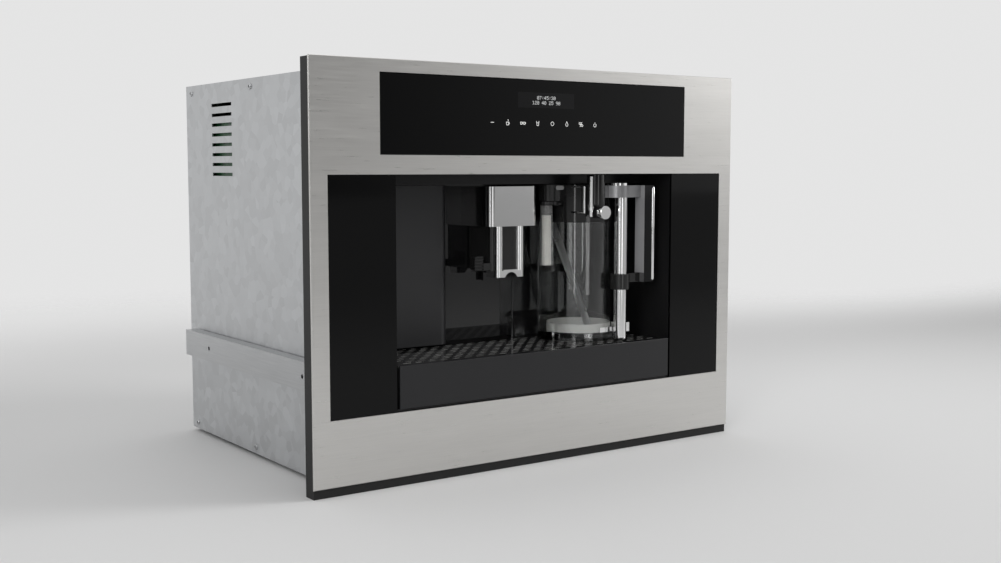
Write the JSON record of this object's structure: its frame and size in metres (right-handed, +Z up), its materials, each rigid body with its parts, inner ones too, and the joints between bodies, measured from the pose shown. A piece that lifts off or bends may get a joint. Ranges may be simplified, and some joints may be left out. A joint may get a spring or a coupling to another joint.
{
  "type": "built-in coffee machine",
  "caption": "Built-in coffee machine with a steel fascia, lit niche, adjustable spout, drip tray and glass milk jug, on pull-out runners.",
  "frame": {"origin": "middle of the footprint on the level of the feet", "axes": "+X to the user's right, +Y into the cabinet, +Z up; the fascia faces -Y"},
  "size_m": [0.595, 0.412, 0.455],
  "materials": {
    "brushed_steel": "fine horizontal brushing, polished bevel",
    "black_glass": "opaque black back-printed glass, polished",
    "carrier_plastic": "fine moulded texture",
    "liner_plastic": "semi-gloss moulded black",
    "gloss_black": "piano gloss",
    "dark_grey": "satin dark grey",
    "chrome": "polished",
    "grille_black": "glossy dark coating",
    "tray_plastic": "moulded",
    "float_red": "moulded",
    "clear_glass": "clear, polished",
    "polished_band": "satin polished",
    "cream_plastic": "smooth moulded",
    "silicone": "translucent silicone",
    "sheet_steel": "galvanised sheet",
    "rail_steel": "zinc plated",
    "rubber": "matt",
    "tank_clear": "clear smoked plastic",
    "lid_smoke": "semi-gloss black",
    "grinder_plastic": "moulded",
    "hard_steel": "ground steel",
    "motor_can": "zinc plated can",
    "cast_aluminium": "as cast",
    "circuit_board": "solder mask",
    "inlet_plastic": "moulded"
  },
  "bodies": {
    "cabinet_rails": {"outer_rails": "rail_steel"},
    "rail_middles": {"middle_rails": "rail_steel"},
    "machine": {"steel_fascia": "brushed_steel", "control_glass": "black_glass", "side_glass_panels": "black_glass", "fascia_carrier": "carrier_plastic", "bottom_trim": "carrier_plastic", "niche_liner": "liner_plastic", "inner_chassis": "liner_plastic", "back_wall_panel": "gloss_black", "steam_outlet": "chrome", "grounds_container": "tray_plastic", "coffee_chute": "tray_plastic", "tank_cradle": "tray_plastic", "water_hoses": "silicone", "base_pan": "sheet_steel", "side_panels": "sheet_steel", "rear_panel": "sheet_steel", "top_panel": "sheet_steel", "inner_rails": "rail_steel", "door_hinge_pins": "rail_steel", "chassis_screws": "rail_steel", "rubber_mounts": "rubber", "bean_hopper": "tank_clear", "grinder_housing": "grinder_plastic", "brew_frame": "grinder_plastic", "grinder_motor": "motor_can", "brew_motor": "motor_can", "water_pump": "motor_can", "heaters": "cast_aluminium", "control_board": "circuit_board", "power_board": "circuit_board", "power_inlet": "inlet_plastic"},
    "door": {"service_door": "gloss_black", "door_side_cover": "dark_grey", "spout_housing": "chrome"},
    "spout": {"spout_tubes": "chrome", "spout_core": "gloss_black"},
    "tray": {"drip_tray": "tray_plastic", "tray_front": "dark_grey", "tray_grille": "grille_black"},
    "float": {"tray_float": "float_red"},
    "jug": {"jug_glass": "clear_glass", "jug_band": "polished_band", "jug_lid": "gloss_black", "lid_fittings": "chrome", "suction_tube": "silicone", "handle_post": "chrome", "handle_grip": "gloss_black"},
    "froth_dial": {"froth_knob": "chrome"},
    "milk_outlet": {"milk_spout": "cream_plastic"},
    "tank": {"water_tank": "tank_clear"},
    "tank_cover": {"tank_lid": "lid_smoke"},
    "hopper_cover": {"hopper_lid": "lid_smoke"},
    "chute_flap": {"preground_flap": "lid_smoke"},
    "grind_dial": {"grind_knob": "lid_smoke"},
    "burr": {"grinding_burr": "hard_steel"},
    "brew_carriage": {"brew_chamber": "grinder_plastic"},
    "brew_screw": {"lead_screw": "hard_steel"},
    "rocker": {"mains_rocker": "inlet_plastic"}
  },
  "joints": [
    {"name": "machine_slide", "type": "slide", "parent": "cabinet_rails", "child": "machine", "axis": [0, -1, 0], "range_m": [0, 0.28]},
    {"name": "rail_slide", "type": "slide", "parent": "cabinet_rails", "child": "rail_middles", "axis": [0, -1, 0], "range_m": [0, 0.14]},
    {"name": "door_hinge", "type": "hinge", "parent": "machine", "child": "door", "pos_m": [-0.1925, -0.1055, 0.228], "axis": [0, 0, -1], "range_deg": [0, 88]},
    {"name": "spout_height", "type": "slide", "parent": "door", "child": "spout", "axis": [0, 0, 1], "range_m": [-0.01, 0.033]},
    {"name": "tray_slide", "type": "slide", "parent": "machine", "child": "tray", "axis": [0, -1, 0], "range_m": [0, 0.125]},
    {"name": "float_rise", "type": "slide", "parent": "tray", "child": "float", "axis": [0, 0, 1], "range_m": [0, 0.006]},
    {"name": "jug_slide", "type": "slide", "parent": "machine", "child": "jug", "axis": [0, -1, 0], "range_m": [0, 0.17]},
    {"name": "froth_turn", "type": "hinge", "parent": "jug", "child": "froth_dial", "pos_m": [0.096, -0.2, 0.2886], "axis": [0, -1, 0], "range_deg": [0, 180]},
    {"name": "milk_spout_swing", "type": "hinge", "parent": "jug", "child": "milk_outlet", "pos_m": [0.064, -0.146, 0.302], "axis": [0, 0, 1], "range_deg": [0, 30]},
    {"name": "tank_lift", "type": "slide", "parent": "machine", "child": "tank", "axis": [0, 0, 1], "range_m": [0, 0.2]},
    {"name": "tank_lid_hinge", "type": "hinge", "parent": "tank", "child": "tank_cover", "pos_m": [0.231, 0.1616, 0.4384], "axis": [-1, 0, 0], "range_deg": [0, 90]},
    {"name": "hopper_lid_hinge", "type": "hinge", "parent": "machine", "child": "hopper_cover", "pos_m": [-0.022, 0.1914, 0.4477], "axis": [-1, 0, 0], "range_deg": [0, 100]},
    {"name": "flap_hinge", "type": "hinge", "parent": "machine", "child": "chute_flap", "pos_m": [-0.022, -0.0286, 0.4477], "axis": [-1, 0, 0], "range_deg": [0, 90]},
    {"name": "grind_turn", "type": "hinge", "parent": "machine", "child": "grind_dial", "pos_m": [-0.11, -0.016, 0.4453], "axis": [0, 0, 1], "range_deg": [0, 270]},
    {"name": "burr_spin", "type": "hinge", "parent": "machine", "child": "burr", "pos_m": [-0.022, 0.112, 0.302], "axis": [0, 0, 1], "continuous": true},
    {"name": "brew_travel", "type": "slide", "parent": "machine", "child": "brew_carriage", "axis": [0, 0, 1], "range_m": [0, 0.05]},
    {"name": "brew_screw_turn", "type": "hinge", "parent": "machine", "child": "brew_screw", "pos_m": [-0.022, 0.018, 0.14], "axis": [0, 0, 1], "range_deg": [0, 900]},
    {"name": "rocker_tilt", "type": "hinge", "parent": "machine", "child": "rocker", "pos_m": [-0.172, 0.192, 0.062], "axis": [1, 0, 0], "range_deg": [0, 14]}
  ],
  "couplings": [
    {"joint": "rail_slide", "follows": "machine_slide", "ratio": 0.5},
    {"joint": "brew_screw_turn", "follows": "brew_travel", "rad_per_m": 314.16}
  ]
}
